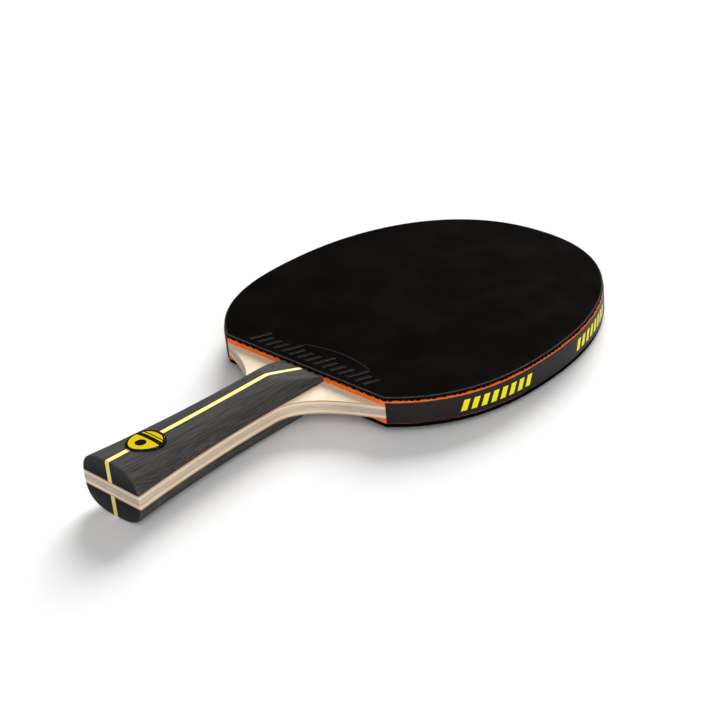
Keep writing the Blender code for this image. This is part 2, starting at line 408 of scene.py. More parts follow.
def bump(tree, shader, height, strength, depth):
    """Fine relief of a depth in millimetres, which feeds the shader's normal."""
    values = {"Height": height, "Strength": strength, "Distance": depth * MM}
    tree.links.new(add(tree, "Bump", values).outputs[0], shader.inputs["Normal"])


def attribute(tree, name):
    """A number that each point of the mesh carries, such as its wear."""
    return add(tree, "Attribute", attribute_name=name).outputs["Fac"]


print("an orange of 226, 105, 42 is", [round(c, 3) for c in colour(226, 105, 42)[:3]], "in linear light")

# %% [markdown]
# ## Three effects that many finishes share
#
# Wood fibres are long and thin, so the grain group stretches noise by a spacing on each axis. Every handled
# surface also gathers fine dust and dull patches, and loses its finish at its edges first. The edge group
# also paints highlights on the rubber's rim and marks and along the scales' crease. Each effect is one node
# group, used by several materials with their own numbers.

# %% Wood grain
grain_inputs = {"Place": "Vector", "Spacing": "Vector"}
grain, given, result = start_group("wood_grain", grain_inputs, ("Fibre", "Figure", "Pores"))
spread = add(grain, "VectorMath", {0: given["Place"], 1: given["Spacing"]}, operation="MULTIPLY")
stretched = spread.outputs[0]
put(grain, result["Fibre"], noise(grain, stretched, 1.0, 5.0, 0.68))
put(grain, result["Figure"], noise(grain, stretched, 0.17, 2.0, 0.5, 0.8))
put(grain, result["Pores"], between(grain, noise(grain, stretched, 2.6, 2.0, 0.5), 0.62, 0.74))
print("wood_grain has", len(grain.nodes), "nodes")

# %% Dust and dull patches
dust, given, result = start_group("dust", {"Place": "Vector", "Amount": "Float"}, ("Specks", "Patches"))
cells = add(dust, "TexVoronoi", {"Vector": given["Place"], "Scale": 900.0}, feature="F1")
near = between(dust, cells.outputs["Distance"], 0.10, 0.05)
chosen = add(dust, "SeparateColor", {"Color": cells.outputs["Color"]}).outputs[0]
few = calc(dust, "LESS_THAN", chosen, given["Amount"])
put(dust, result["Specks"], calc(dust, "MULTIPLY", near, few))
put(dust, result["Patches"], between(dust, noise(dust, given["Place"], 45.0, 4.0, 0.6), 0.38, 0.68))
print("dust has", len(dust.nodes), "nodes")

# %% Worn and highlit edges
worn_and_highlit, given, result = start_group("worn_and_highlit_edges", {"Place": "Vector", "Wear_and_glint": "Float"}, ("Mask",))
rubbed_and_highlit = calc(worn_and_highlit, "MULTIPLY_ADD", noise(worn_and_highlit, given["Place"], 700.0, 3.0, 0.7), 0.9, -0.35)
put(worn_and_highlit, result["Mask"], calc(worn_and_highlit, "MULTIPLY", given["Wear_and_glint"], calc(worn_and_highlit, "ADD", rubbed_and_highlit, 0.4), clamp=True))
print("worn_and_highlit_edges has", len(worn_and_highlit.nodes), "nodes")

# %% [markdown]
# ## Five woods
#
# The core and the outer veneers run along the paddle, and the inner plies run across it, which stops the
# blade from splitting. A cut edge shows the fibres' ends and is darker than a face, so the colour follows
# the direction that the surface looks in. The handle's scales are dyed charcoal and the stripes yellow.

# %% Wood finishes
def wood(name, spacing, pale, dark, cut, end, roughness, relief, contrast=1.0, specular=0.35):
    """Colours for its pale and dark fibres, and what multiplies them on a cut side and on the butt."""
    material, tree, shader, place = start_material(name)
    fibres = use_group(tree, grain, {"Place": place, "Spacing": spacing})
    share = between(tree, fibres["Fibre"], 0.5 - 0.22 / contrast, 0.5 + 0.22 / contrast)
    tint = blend(tree, share, dark, pale)
    tint = blend(tree, between(tree, fibres["Figure"], 0.35, 0.65, 0.0, 0.35), tint, dark)
    tint = blend(tree, calc(tree, "MULTIPLY", fibres["Pores"], 0.35), tint, dark, "MULTIPLY")
    facing = add(tree, "SeparateXYZ", {0: add(tree, "NewGeometry").outputs["Normal"]}).outputs
    on_side = between(tree, calc(tree, "ABSOLUTE", facing[2]), 0.8, 0.5)
    on_butt = between(tree, calc(tree, "ABSOLUTE", facing[1]), 0.75, 0.95)
    tint = blend(tree, on_side, tint, blend(tree, 1.0, tint, cut, "MULTIPLY"))
    tint = blend(tree, on_butt, tint, blend(tree, 1.0, tint, end, "MULTIPLY"))
    marks = use_group(tree, dust, {"Place": place, "Amount": 0.04})
    tint = blend(tree, calc(tree, "MULTIPLY", marks["Patches"], 0.12), tint, dark)
    # Lighter towards pale where the number is high: wear at the butt's rim and the plies' edges, and a
    # painted highlight along the scales' crease.
    rubbed_and_highlit = use_group(tree, worn_and_highlit, {"Place": place, "Wear_and_glint": attribute(tree, "wear_and_highlight")})
    tint = blend(tree, calc(tree, "MULTIPLY", rubbed_and_highlit["Mask"], 0.45), tint, pale)
    put(tree, shader.inputs["Base Color"], tint)
    dull = between(tree, fibres["Fibre"], 0.3, 0.7, roughness + 0.08, roughness - 0.08)
    put(tree, shader.inputs["Roughness"], calc(tree, "MULTIPLY_ADD", marks["Patches"], 0.06, dull))
    shader.inputs["Specular IOR Level"].default_value = specular
    height = calc(tree, "SUBTRACT", fibres["Fibre"], calc(tree, "MULTIPLY", fibres["Pores"], 0.6))
    bump(tree, shader, height, 0.5, relief)
    return material


ALONG_BLADE = (110.0, 34.0, 2600.0)
ACROSS_BLADE = (34.0, 110.0, 2600.0)
WHITE = colour(255, 255, 255)
core_wood = wood("core_wood", ALONG_BLADE, colour(234, 221, 202), colour(182, 163, 140),
                 colour(240, 233, 224), colour(226, 226, 236), roughness=0.62, relief=0.05, contrast=1.2)
inner_wood = wood("inner_wood", ACROSS_BLADE, colour(244, 235, 220), colour(212, 196, 174),
                  colour(250, 245, 236), colour(240, 242, 250), roughness=0.6, relief=0.04, contrast=1.2)
veneer_wood = wood("veneer_wood", (900.0, 22.0, 900.0), colour(229, 213, 188), colour(217, 198, 168),
                   colour(212, 166, 124), colour(246, 240, 236), roughness=0.5, relief=0.03)
stained_wood = wood("stained_wood", (3000.0, 70.0, 1300.0), colour(88, 86, 84), colour(47, 46, 45),
                    WHITE, colour(146, 148, 166), roughness=0.66, relief=0.05, contrast=0.9, specular=0.015)
yellow_wood = wood("yellow_wood", (1600.0, 40.0, 1600.0), colour(245, 231, 142), colour(231, 212, 110),
                   WHITE, colour(238, 236, 224), roughness=0.5, relief=0.03)
print("five woods from one recipe")

# %% [markdown]
# ## The five plies
#
# All five plies are cut to one outline after gluing, so they share it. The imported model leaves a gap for
# each film of glue. Here each ply reaches almost to the middle of that gap, and its edge is broken by a
# twentieth of a millimetre, which is what sandpaper leaves and what lets a seam show as a fine line.

# %% Core, inner plies and outer veneers
BROKEN_EDGE = 0.05
GLUE_SHARE = 0.045


def ply(low, high):
    """A plate with edges broken at 45 degrees, from just under one face to just over the other."""
    low, high = low - GLUE_SHARE, high + GLUE_SHARE
    profile = [
        (0.4, low, 0.0),
        (BROKEN_EDGE, low, 0.2),
        (0.0, low + BROKEN_EDGE, 0.5),
        (0.0, high - BROKEN_EDGE, 0.5),
        (BROKEN_EDGE, high, 0.2),
        (0.4, high, 0.0),
    ]
    return plate(blade_side(), profile)


WEAR_AND_HIGHLIGHT = ("wear_and_highlight",)
add_piece("core_layer", ply(*levels("core_ply")), "core_ply", core_wood, WEAR_AND_HIGHLIGHT)
for side, turn in (("front", list), ("back", mirrored)):
    inner, outer = levels("front_inner_ply"), levels("front_outer_ply")
    add_piece(f"{side}_inner_layer", turn(ply(*inner)), f"{side}_inner_ply", inner_wood, WEAR_AND_HIGHLIGHT)
    add_piece(f"{side}_veneer", turn(ply(*outer)), f"{side}_outer_ply", veneer_wood, WEAR_AND_HIGHLIGHT)

# %% [markdown]
# ## The handle's scales
#
# Each scale is a block of dyed wood with a yellow stripe let into its middle, milled to an oval. The oval is
# a superellipse too, and its width is set so that it meets the blade's edge flush. At the throat a slope is
# cut off. Taking the smaller of two surfaces would leave a knife edge there, so a smooth minimum is used:
# half of the sum less the root of the squared difference plus a small square.

# %% The oval and the slope
GRIP_POWER = 2.85
BLADE_FACE = levels("front_outer_ply")[1]
SCALE_BASE = levels("front_stripe")[0]
SCALE_END = (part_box("front_stripe")[1].y - BUTT[1]) / MM
SLOPE_FROM = 82.5
SLOPE_END_HEIGHT = SCALE_BASE + 2.3
SOFT_CREASE = 0.35


def oval(y, grow=0.0):
    """The oval's half width and half depth at y. It passes through the edges of the blade's faces."""
    depth = half_depth(y)
    width = half_width(y) / (1 - (BLADE_FACE / depth) ** GRIP_POWER) ** (1 / GRIP_POWER)
    return width + grow, depth + grow


def grip_height(x, y, grow=0.0):
    """z = depth times (1 - |x / width|^p)^(1/p)."""
    width, depth = oval(y, grow)
    share = np.clip(1 - (np.abs(x) / width) ** GRIP_POWER, 0, 1)
    return depth * share ** (1 / GRIP_POWER)


def slope_height(y):
    """The plane at the throat, falling from the ridge to just over the blade."""
    ridge = half_depth(SLOPE_FROM)
    share = (y - SLOPE_FROM) / (STRAIGHT_EDGE_Y - SLOPE_FROM)
    return ridge + (SLOPE_END_HEIGHT - ridge) * share


def scale_rows():
    """y at each row, and how far in the oval is there: fine at the butt's rim and on the slope."""
    from_butt, inwards = butt_rim()
    middle = np.linspace(RIM_RADIUS, SLOPE_FROM - 2, 44)[1:]
    throat = np.linspace(SLOPE_FROM - 2, SCALE_END, 54)[1:]
    y = np.concatenate([from_butt, middle, throat])
    return y, np.concatenate([inwards, np.zeros(len(y) - len(inwards))])


def strip(x_from, x_to=None, columns=40):
    """One strip of a scale: columns from x_from to x_to, or spread by angle out to the blade's edge."""
    y, inwards = scale_rows()
    y, inwards = y[:, None], inwards[:, None]
    width, depth = oval(y, -inwards)
    if x_to is None:
        first = np.arccos((x_from / width) ** (GRIP_POWER / 2))
        last = np.arcsin((SCALE_BASE / depth) ** (GRIP_POWER / 2))
        angles = first + (last - first) * np.linspace(0, 1, columns + 1)
        x = width * np.cos(angles) ** (2 / GRIP_POWER)
    else:
        x = x_from + (x_to - x_from) * np.linspace(0, 1, columns + 1) + 0 * y
    over, cut = grip_height(x, y, -inwards), slope_height(y)
    z = np.maximum((over + cut - np.sqrt((over - cut) ** 2 + SOFT_CREASE**2)) / 2, SCALE_BASE)
    # Wear at the butt's rim, and a painted highlight along the crease where the oval meets the slope.
    wear_and_highlight = np.maximum(1 - y / 2, np.exp(-(((over - cut) / 0.8) ** 2))) + 0 * x
    top = np.stack([x, y + 0 * x, z, wear_and_highlight], axis=-1)
    base = np.stack([x, y + 0 * x, np.full_like(x, SCALE_BASE), 0 * x], axis=-1)
    return slab(top, base)


STRIPE_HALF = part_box("front_stripe")[1].x / MM
SCALE_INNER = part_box("front_right_scale")[0].x / MM
SWAP_SIDES = np.array([-1, 1, 1, 1])
right_half = strip(SCALE_INNER)
left_half = [grid * SWAP_SIDES for grid in right_half]
stripe = strip(-STRIPE_HALF, STRIPE_HALF, 6)
for side, turn in (("front", list), ("back", mirrored)):
    add_piece(f"{side}_left_half", turn(left_half), f"{side}_left_scale",
              stained_wood, WEAR_AND_HIGHLIGHT)
    add_piece(f"{side}_yellow_line", turn(stripe), f"{side}_stripe", yellow_wood, WEAR_AND_HIGHLIGHT)
    add_piece(f"{side}_right_half", turn(right_half), f"{side}_right_scale",
              stained_wood, WEAR_AND_HIGHLIGHT)

# %% [markdown]
# ## Sponge
#
# The orange layer is a dense foam. A knife trims it after gluing, so its edge is straight but open-pored
# and a little sunken. The pores are the cells of a Voronoi texture, and soft noise varies the dye.

# %% The foam's finish and the two sponges
def foam():
    """Orange foam: the cells of a Voronoi texture are open pores, deeper than the rest, with painted shade in
    them.
    """
    material, tree, shader, place = start_material("orange_foam")
    pores = add(tree, "TexVoronoi", {"Vector": place, "Scale": 3600.0}, feature="F1").outputs["Distance"]
    hollow = between(tree, pores, 0.45, 0.12)
    dye = between(tree, noise(tree, place, 260.0, 4.0, 0.6), 0.35, 0.65)
    tint = blend(tree, dye, colour(248, 104, 34), colour(255, 124, 48))
    # Painted shade: the open pores are darkened to brown, as shade falls in them.
    tint = blend(tree, calc(tree, "MULTIPLY", hollow, 0.45), tint, colour(176, 62, 16))
    marks = use_group(tree, dust, {"Place": place, "Amount": 0.03})
    tint = blend(tree, calc(tree, "MULTIPLY", marks["Patches"], 0.10), tint, colour(150, 60, 24))
    put(tree, shader.inputs["Base Color"], tint)
    put(tree, shader.inputs["Roughness"], between(tree, hollow, 0.0, 1.0, 0.8, 0.95))
    shader.inputs["Specular IOR Level"].default_value = 0.2
    bump(tree, shader, calc(tree, "SUBTRACT", noise(tree, place, 1500.0), hollow), 0.6, 0.08)
    return material


orange_foam = foam()
low, high = levels("front_sponge")
SUNKEN = 0.06
sponge_profile = [
    (0.5, low - SUNKEN, 0.0),
    (SUNKEN, low - SUNKEN, 0.0),
    (0.0, low, 0.0),
    (SUNKEN, low + 0.5, 0.0),
    (SUNKEN, high - 0.7, 0.0),
    (0.0, high - 0.35, 0.0),
    (0.05, high, 0.0),
    (0.5, high, 0.0),
]
for side, turn in (("front", list), ("back", mirrored)):
    sponge = add_piece(f"{side}_foam", turn(plate(head_side(), sponge_profile)), f"{side}_sponge",
                       orange_foam, WEAR_AND_HIGHLIGHT)

# %% [markdown]
# ## The topsheet
#
# The black sheet is 1.1 mm thick, with short pimples moulded under it that face the sponge. Further in than
# the first rows nothing can be seen, so there the sheet simply reaches down to the sponge. Its upper edge
# is slightly rounded, and a painted grey highlight on it shows as a thin line all round the head. Rubber is
# dull: its specular level is low and its roughness high, with soft patches from handling and a few specks of
# dust.

# %% Black rubber and the two sheets
def rubber():
    """Dull black with soft patches and specks of dust, and a painted grey highlight on the rim and the marks'
    edges.
    """
    material, tree, shader, place = start_material("black_rubber_finish")
    marks = use_group(tree, dust, {"Place": place, "Amount": 0.05})
    tint = blend(tree, marks["Patches"], colour(6, 5, 4), colour(9, 7, 6))
    rubbed_and_highlit = use_group(tree, worn_and_highlit, {"Place": place, "Wear_and_glint": attribute(tree, "wear_and_highlight")})
    # Painted highlight: grey on the rounded rim and on the moulded marks' edges.
    tint = blend(tree, calc(tree, "MULTIPLY", rubbed_and_highlit["Mask"], 0.9), tint, colour(128, 126, 125))
    tint = blend(tree, calc(tree, "MULTIPLY", marks["Specks"], 0.35), tint, colour(90, 88, 84))
    put(tree, shader.inputs["Base Color"], tint)
    grainy = noise(tree, place, 5200.0, 3.0, 0.6)
    dull = between(tree, grainy, 0.3, 0.7, 0.62, 0.74)
    put(tree, shader.inputs["Roughness"], calc(tree, "MULTIPLY_ADD", marks["Patches"], -0.08, dull))
    shader.inputs["Specular IOR Level"].default_value = 0.002
    swell = calc(tree, "MULTIPLY", noise(tree, place, 60.0, 2.0, 0.5), 3.0)
    bump(tree, shader, calc(tree, "ADD", grainy, swell), 0.35, 0.02)
    return material


black_rubber = rubber()
sheet_base, sheet_top = levels("front_topsheet")
SHEET = 1.1
PLUG = 2.4
RIM = 0.4
RIM_HIGHLIGHT = 0.6
under = sheet_top - SHEET
corner = np.linspace(0, math.pi / 2, 6)
# Painted highlight: the rounded rim's number turns the rubber grey there, as a thin light line.
rim_round = [
    (RIM * (1 - math.cos(a)), sheet_top - RIM + RIM * math.sin(a), RIM_HIGHLIGHT * math.sin(a)) for a in corner
]
sheet_profile = [
    (PLUG + 0.1, sheet_base - 0.08, 0.0),
    (PLUG, sheet_base - 0.08, 0.0),
    (PLUG, under, 0.0),
    (0.06, under, 0.0),
    (0.0, under + 0.06, 0.0),
    *rim_round,
    (RIM + 0.12, sheet_top, 0.2),
    (RIM + 0.5, sheet_top, 0.0),
]
for side, turn in (("front", list), ("back", mirrored)):
    add_piece(f"{side}_sheet", turn(plate(head_side(), sheet_profile, 48)), f"{side}_topsheet",
              black_rubber, WEAR_AND_HIGHLIGHT)

# %% [markdown]
# ## Pimples
#
# The pimples stand in a hexagonal pattern, 2.4 mm from one to the next, and the knife cuts through those at
# the rim. Only a band of a few rows can be seen between sheet and sponge, so only that band is made, with
# eight sides to a pimple. Each ring of points is computed at once for all of them. A point outside the
# outline is pulled back towards the pimple's middle by halving the step, which leaves a flush cut.

# %% Pimples along the rim
PITCH = 2.4
PIMPLE_FOOT = 0.78
PIMPLE_ROOT = 0.98
BAND = 3.4
ROUND = 8
HALVINGS = 18


def pimple_middles():
    """Rows 1.2 mm apart along y, each with a middle every 4.16 mm, every second row shifted by half."""
    rows = np.arange(math.ceil((TIP_Y - STRAIGHT_EDGE_Y) / (PITCH / 2)) + 1)
    step = PITCH * math.sqrt(3)
    columns = np.arange(-20, 21)
    x = columns[None, :] * step + (rows[:, None] % 2) * step / 2
    y = STRAIGHT_EDGE_Y + 0.1 + rows[:, None] * PITCH / 2 + 0 * x
    middles = np.stack([x, y], axis=-1).reshape(-1, 2)
    return middles[inside_head(middles, -0.35) & ~inside_head(middles, BAND)]


def clipped(middles, ring):
    """The ring's points moved towards their middles until they are inside, by halving the step."""
    inner, outer = np.zeros(ring.shape[:2]), np.ones(ring.shape[:2])
    whole = inside_head(ring)
    for _ in range(HALVINGS):
        half = (inner + outer) / 2
        good = inside_head(middles + (ring - middles) * half[..., None])
        inner, outer = np.where(good, half, inner), np.where(good, outer, half)
    share = np.where(whole, 1.0, inner)[..., None]
    return middles + (ring - middles) * share


def pimples():
    """Closed cones with a flat foot on the sponge and a wider root inside the sheet."""
    middles = pimple_middles()
    centre = np.array([0.0, WIDEST_Y])
    nudged = middles + (centre - middles) * 0.009
    safe = np.where(inside_head(middles, 0.25)[:, None], middles, nudged)
    angles = np.arange(ROUND + 1) * 2 * math.pi / ROUND
    around = np.column_stack([np.cos(angles), np.sin(angles)])
    profile = [
        (0.0, sheet_base - 0.1),
        (PIMPLE_FOOT, sheet_base - 0.1),
        (PIMPLE_FOOT + 0.03, sheet_base + 0.25),
        (PIMPLE_ROOT, under + 0.05),
        (0.0, under + 0.05),
    ]
    rings = []
    for radius, height in profile:
        ring = clipped(safe[:, None, :], middles[:, None, :] + around * max(radius, 1e-6))
        ring = ring if radius else np.repeat(safe[:, None, :], ROUND + 1, axis=1)
        rings.append(np.concatenate([ring, np.full((*ring.shape[:2], 1), height)], axis=-1))
    stacked = np.stack(rings, axis=1)
    worn_none = np.zeros((*stacked.shape[:3], 1))
    return list(np.concatenate([stacked, worn_none], axis=-1))


pimple_grids = pimples()
for side, turn in (("front", list), ("back", mirrored)):
    add_piece(f"{side}_pimples", turn(pimple_grids), f"{side}_topsheet",
              black_rubber, WEAR_AND_HIGHLIGHT, ROUNDED_EDGE)

# %% [markdown]
# ## Moulded marks on the rubber
#
# Sheets carry marks in low relief beside the straight edge. Here they are plain slanted bars and a thin
# line in an arc above them, a tenth of a millimetre high. Each bar is a slab whose top is smaller than its
# base, and the arc is a narrow slab carried along a parabola. Their long edges carry a painted grey
# highlight.

# %% Bars and an arc in relief
RELIEF = 0.12
BAR_SLANT = math.tan(math.radians(24))
MARKS = 15
MARK_SPACING = 4.7
MARK_LENGTH, EVERY_FOURTH = 6.4, 8.8
MARK_START = 3.2
ARC_X, ARC_REACH = 7, 19
ARC_Y, ARC_FALL = 16.0, 3.2


def raised(x, y, narrower, shorter=0.0, edge_highlight=1.0):
    """A slab over the sheet from two grids of x and y. Its top is drawn in, and its long edges carry a
    painted highlight.
    """
    wear_and_highlight = np.zeros_like(x)
    wear_and_highlight[:, [0, -1]] = edge_highlight
    middle = x.mean(axis=1, keepdims=True)
    high, low = np.full_like(x, sheet_top + RELIEF), np.full_like(x, sheet_top - 0.05)
    top = np.stack([middle + (x - middle) * narrower, y + shorter, high, wear_and_highlight], axis=-1)
    return slab(top, np.stack([x, y, low, 0 * x], axis=-1))


def moulded_marks():
    """Bars of x = middle + y times the slant, and a line whose y falls with the square of x."""
    grids = []
    across = np.array([[-0.8, -0.55, 0.55, 0.8]])
    for number in range(MARKS):
        length = MARK_LENGTH if number % 4 else EVERY_FOURTH
        up = np.linspace(0, length, 5)[:, None] + 0 * across
        x = (number - MARKS // 2) * MARK_SPACING + (up - MARK_LENGTH / 2) * BAR_SLANT + across
        grids += raised(x, STRAIGHT_EDGE_Y + MARK_START + up, 0.75)
    share = np.linspace(-1, 1, 61)[:, None]
    thickness = np.array([[-0.2, 0.2]])
    x = ARC_X + share * ARC_REACH + 0 * thickness
    y = STRAIGHT_EDGE_Y + ARC_Y - ARC_FALL * share**2 + thickness
    return grids + raised(x, y, 1.0, -0.4 * thickness, 0.35)


for side, turn in (("front", list), ("back", mirrored)):
    add_piece(f"{side}_moulded_marks", turn(moulded_marks()), f"{side}_topsheet",
              black_rubber, WEAR_AND_HIGHLIGHT)

# %% [markdown]
# ## The edge tape
#
# A vinyl tape protects the blade's edge. It starts just past one corner of the straight edge and ends just
# before the other, covers the blade's thickness and most of each sponge, and dips a little over the seams
# beneath it. It was stuck on a little low. Each point knows how far along and how high on the tape it is.
# The printed bars are drawn from those two numbers, so they follow the curve without stretching.

# %% The tape's path and section
TAPE_STARTS = 0.55
TAPE_HALF = levels("edge_tape")[1]
TAPE_LOW = 0.15
TAPE_OUTSIDE, TAPE_EDGE, TAPE_INSIDE = 0.40, 0.30, 0.09
SEAM_DIP, SEAM_WIDTH = 0.07, 0.45
BORDER = 0.12
SEAM = BLADE_FACE + 0.1


def tape_grids():
    """A section of offset and height carried along the head's edge, in steps of about 1.2 mm."""
    side = head_side(80, 220)
    path = np.vstack([side, side[-2::-1] * (-1, 1)])
    length = np.linalg.norm(np.diff(path, axis=0), axis=1).sum()
    run = np.linspace(TAPE_STARTS, length - TAPE_STARTS, 340)
    points = point_at(path, run)
    along = np.gradient(points, axis=0)
    along /= np.linalg.norm(along, axis=1, keepdims=True)
    outwards = np.column_stack([along[:, 1], -along[:, 0]])
    between_borders = np.linspace(-TAPE_HALF + BORDER, TAPE_HALF - BORDER, 27)
    heights = np.concatenate([[-TAPE_HALF], between_borders, [TAPE_HALF]])
    dip = SEAM_DIP * np.exp(-(((np.abs(heights) - SEAM) / SEAM_WIDTH) ** 2))
    outer = TAPE_OUTSIDE - dip
    outer[[0, -1]] = TAPE_EDGE
    ripple = 0.012 * np.sin(run / 5.3) + 0.010 * np.sin(run / 2.1 + 1.0)
    uneven = 0.05 * np.sin(run / 9.7) + 0.03 * np.sin(run / 3.7 + 2.0)

    def surface(offsets):
        """Point plus outward direction times the offset, at each height."""
        away = offsets[:, None] + ripple * (offsets[:, None] > 0.2)
        flat = points[None] + outwards[None] * away[..., None]
        at_borders = (heights[:, None] / TAPE_HALF) ** 3
        rise = heights[:, None] - TAPE_LOW + uneven * at_borders - 0.08 * at_borders
        up = np.broadcast_to(heights[:, None], rise.shape)
        length_along = np.broadcast_to(run, rise.shape)
        return np.concatenate([flat, np.stack([rise, length_along, up], axis=-1)], axis=-1)

    return slab(surface(outer), surface(np.full(len(heights), TAPE_INSIDE)))


# %% The tape's finish, and the tape
FIRST_GROUP = 31.0
GROUP_PERIOD = 66.0
BAR_PERIOD = 4.4
BARS = 8
BAR_WIDTH = 2.62
BAR_HALF_HEIGHT = 2.45
BAR_LEAN = -0.38


def vinyl():
    """Black tape. A remainder of the length along it, less a lean, is inside a group and a bar, or isn't."""
    material, tree, shader, place = start_material("printed_vinyl")
    along, up = attribute(tree, "along"), attribute(tree, "up")
    leaning = calc(tree, "MULTIPLY_ADD", up, BAR_LEAN, calc(tree, "SUBTRACT", along, FIRST_GROUP))
    in_period = calc(tree, "FLOORED_MODULO", leaning, GROUP_PERIOD)
    in_group = calc(tree, "LESS_THAN", in_period, BARS * BAR_PERIOD)
    bar = calc(tree, "FLOORED_MODULO", in_period, BAR_PERIOD)
    ragged = calc(tree, "MULTIPLY_ADD", noise(tree, place, 2500.0, 2.0), 0.12, -0.06)
    in_bar = between(tree, calc(tree, "ADD", bar, ragged), BAR_WIDTH, BAR_WIDTH - 0.12)
    height_above = calc(tree, "ADD", calc(tree, "ABSOLUTE", up), ragged)
    in_height = between(tree, height_above, BAR_HALF_HEIGHT, BAR_HALF_HEIGHT - 0.1)
    printed = calc(tree, "MULTIPLY", calc(tree, "MULTIPLY", in_group, in_bar), in_height)
    marks = use_group(tree, dust, {"Place": place, "Amount": 0.12})
    tint = blend(tree, marks["Patches"], colour(21, 16, 15), colour(26, 20, 19))
    tint = blend(tree, calc(tree, "MULTIPLY", marks["Specks"], 0.4), tint, colour(110, 106, 100))
    ink = blend(tree, marks["Patches"], colour(240, 228, 24), colour(230, 218, 20))
    tint = blend(tree, printed, tint, ink)
    edge = between(tree, calc(tree, "ABSOLUTE", up), TAPE_HALF - 0.25, TAPE_HALF)
    rubbed_and_highlit = use_group(tree, worn_and_highlit, {"Place": place, "Wear_and_glint": edge})
    tint = blend(tree, calc(tree, "MULTIPLY", rubbed_and_highlit["Mask"], 0.5), tint, colour(96, 92, 90))
    put(tree, shader.inputs["Base Color"], tint)
    grainy = noise(tree, place, 3000.0, 3.0, 0.6)
    dull = between(tree, grainy, 0.3, 0.7, 0.40, 0.50)
    put(tree, shader.inputs["Roughness"], calc(tree, "MULTIPLY_ADD", marks["Patches"], 0.08, dull))
    shader.inputs["Specular IOR Level"].default_value = 0.22
    height = calc(tree, "MULTIPLY_ADD", noise(tree, place, 140.0, 2.0), 2.0, grainy)
    bump(tree, shader, calc(tree, "MULTIPLY_ADD", printed, 0.6, height), 0.35, 0.03)
    return material


printed_vinyl = vinyl()
add_piece("head_tape", tape_grids(), "edge_tape", printed_vinyl, ("along", "up"), ROUNDED_EDGE)

# %% [markdown]
# ## The badge
#
# The badge is a printed plate under a lens of clear resin, and both are bent over the scale. In polar
# coordinates an egg is an ellipse that widens with y. The grid's radius runs from the pole out to the rim
# and back under, and its height is the grip's own formula, grown a little. The print is a black rim round
# a yellow field, with a plain bar, a line and a ball.

# %% The plate and the lens
BADGE_Y = 18.5
BADGE_HALF_LENGTH = 8.0
BADGE_HALF_WIDTH = 7.75
BADGE_TAPER = 0.2


def badge_grid(radii, grows, steps=96):
    """x = r w cos a (1 + taper r sin a), y = r l sin a, and z from the oval grown at each radius."""
    angles = np.linspace(0, 2 * math.pi, steps + 1)[None, :]
    radii, grows = np.array(radii)[:, None], np.array(grows)[:, None]
    rise = radii * np.sin(angles)
    x = BADGE_HALF_WIDTH * radii * np.cos(angles) * (1 + BADGE_TAPER * rise)
    y = BADGE_Y + BADGE_HALF_LENGTH * rise
    return np.stack([x, y, grip_height(x, y, grows), radii + 0 * x], axis=-1)


PLATE_BASE, PLATE_TOP, LENS_BASE, LENS_TOP = 0.06, 0.40, 0.46, 1.30
BACK_RADII = [0.9, 0.5, 0.0]
face_radii = list(np.linspace(0, 0.97, 26))
plate_radii = face_radii + [0.99, 1.0, 1.0] + BACK_RADII
plate_grows = [PLATE_TOP] * len(face_radii) + [PLATE_TOP - 0.01, PLATE_TOP - 0.06] + [PLATE_BASE] * 4
lens_angles = np.linspace(0, math.pi / 2, 28)
lens_radii = list(np.sin(lens_angles)) + BACK_RADII
lens_curve = LENS_BASE + (LENS_TOP - LENS_BASE) * (1 - np.sin(lens_angles) ** 7) ** 0.5
lens_grows = list(lens_curve) + [LENS_BASE] * len(BACK_RADII)


# %% The print and the resin
FIELD_RADIUS = 0.85
BALL_Y, BALL_RADIUS = -1.9, 2.35
BAR_Y, BAR_HALF = 2.5, 1.05
LINE_Y, LINE_HALF = 4.5, 0.32


def badge_print():
    """Yellow inside a share of the rim's radius, and black on a bar, a line and a disc."""
    material, tree, shader, place = start_material("printed_plate")
    middle = tuple(to_model((0, BADGE_Y, 0)))
    from_middle = add(tree, "VectorMath", {0: place, 1: middle}, operation="SUBTRACT")
    flat = add(tree, "SeparateXYZ", {0: from_middle.outputs[0]}).outputs
    x, y = calc(tree, "DIVIDE", flat[0], MM), calc(tree, "DIVIDE", flat[1], MM)
    radius = attribute(tree, "radius")
    field = between(tree, radius, FIELD_RADIUS, FIELD_RADIUS - 0.02)
    above_ball = calc(tree, "SUBTRACT", y, BALL_Y)
    squares = calc(tree, "MULTIPLY", x, x), calc(tree, "MULTIPLY", above_ball, above_ball)
    from_ball = calc(tree, "SQRT", calc(tree, "ADD", *squares))
    ball = between(tree, from_ball, BALL_RADIUS, BALL_RADIUS - 0.1)
    from_bar = calc(tree, "ABSOLUTE", calc(tree, "SUBTRACT", y, BAR_Y))
    from_line = calc(tree, "ABSOLUTE", calc(tree, "SUBTRACT", y, LINE_Y))
    bar = between(tree, from_bar, BAR_HALF, BAR_HALF - 0.07)
    line = between(tree, from_line, LINE_HALF, LINE_HALF - 0.06)
    mark = calc(tree, "MAXIMUM", ball, calc(tree, "MAXIMUM", bar, line))
    yellow = blend(tree, noise(tree, place, 800.0), colour(226, 202, 10), colour(214, 187, 6))
    marks = use_group(tree, dust, {"Place": place, "Amount": 0.08})
    yellow = blend(tree, calc(tree, "MULTIPLY", marks["Patches"], 0.15), yellow, colour(196, 170, 10))
    black = colour(16, 15, 14)
    put(tree, shader.inputs["Base Color"], blend(tree, field, black, blend(tree, mark, yellow, black)))
    put(tree, shader.inputs["Roughness"], between(tree, noise(tree, place, 1200.0), 0.3, 0.7, 0.58, 0.68))
    shader.inputs["Specular IOR Level"].default_value = 0.01
    bump(tree, shader, mark, 0.2, 0.02)
    return material


STRAIGHT_SHINE, GRAZING_SHINE = 0.001, 0.45


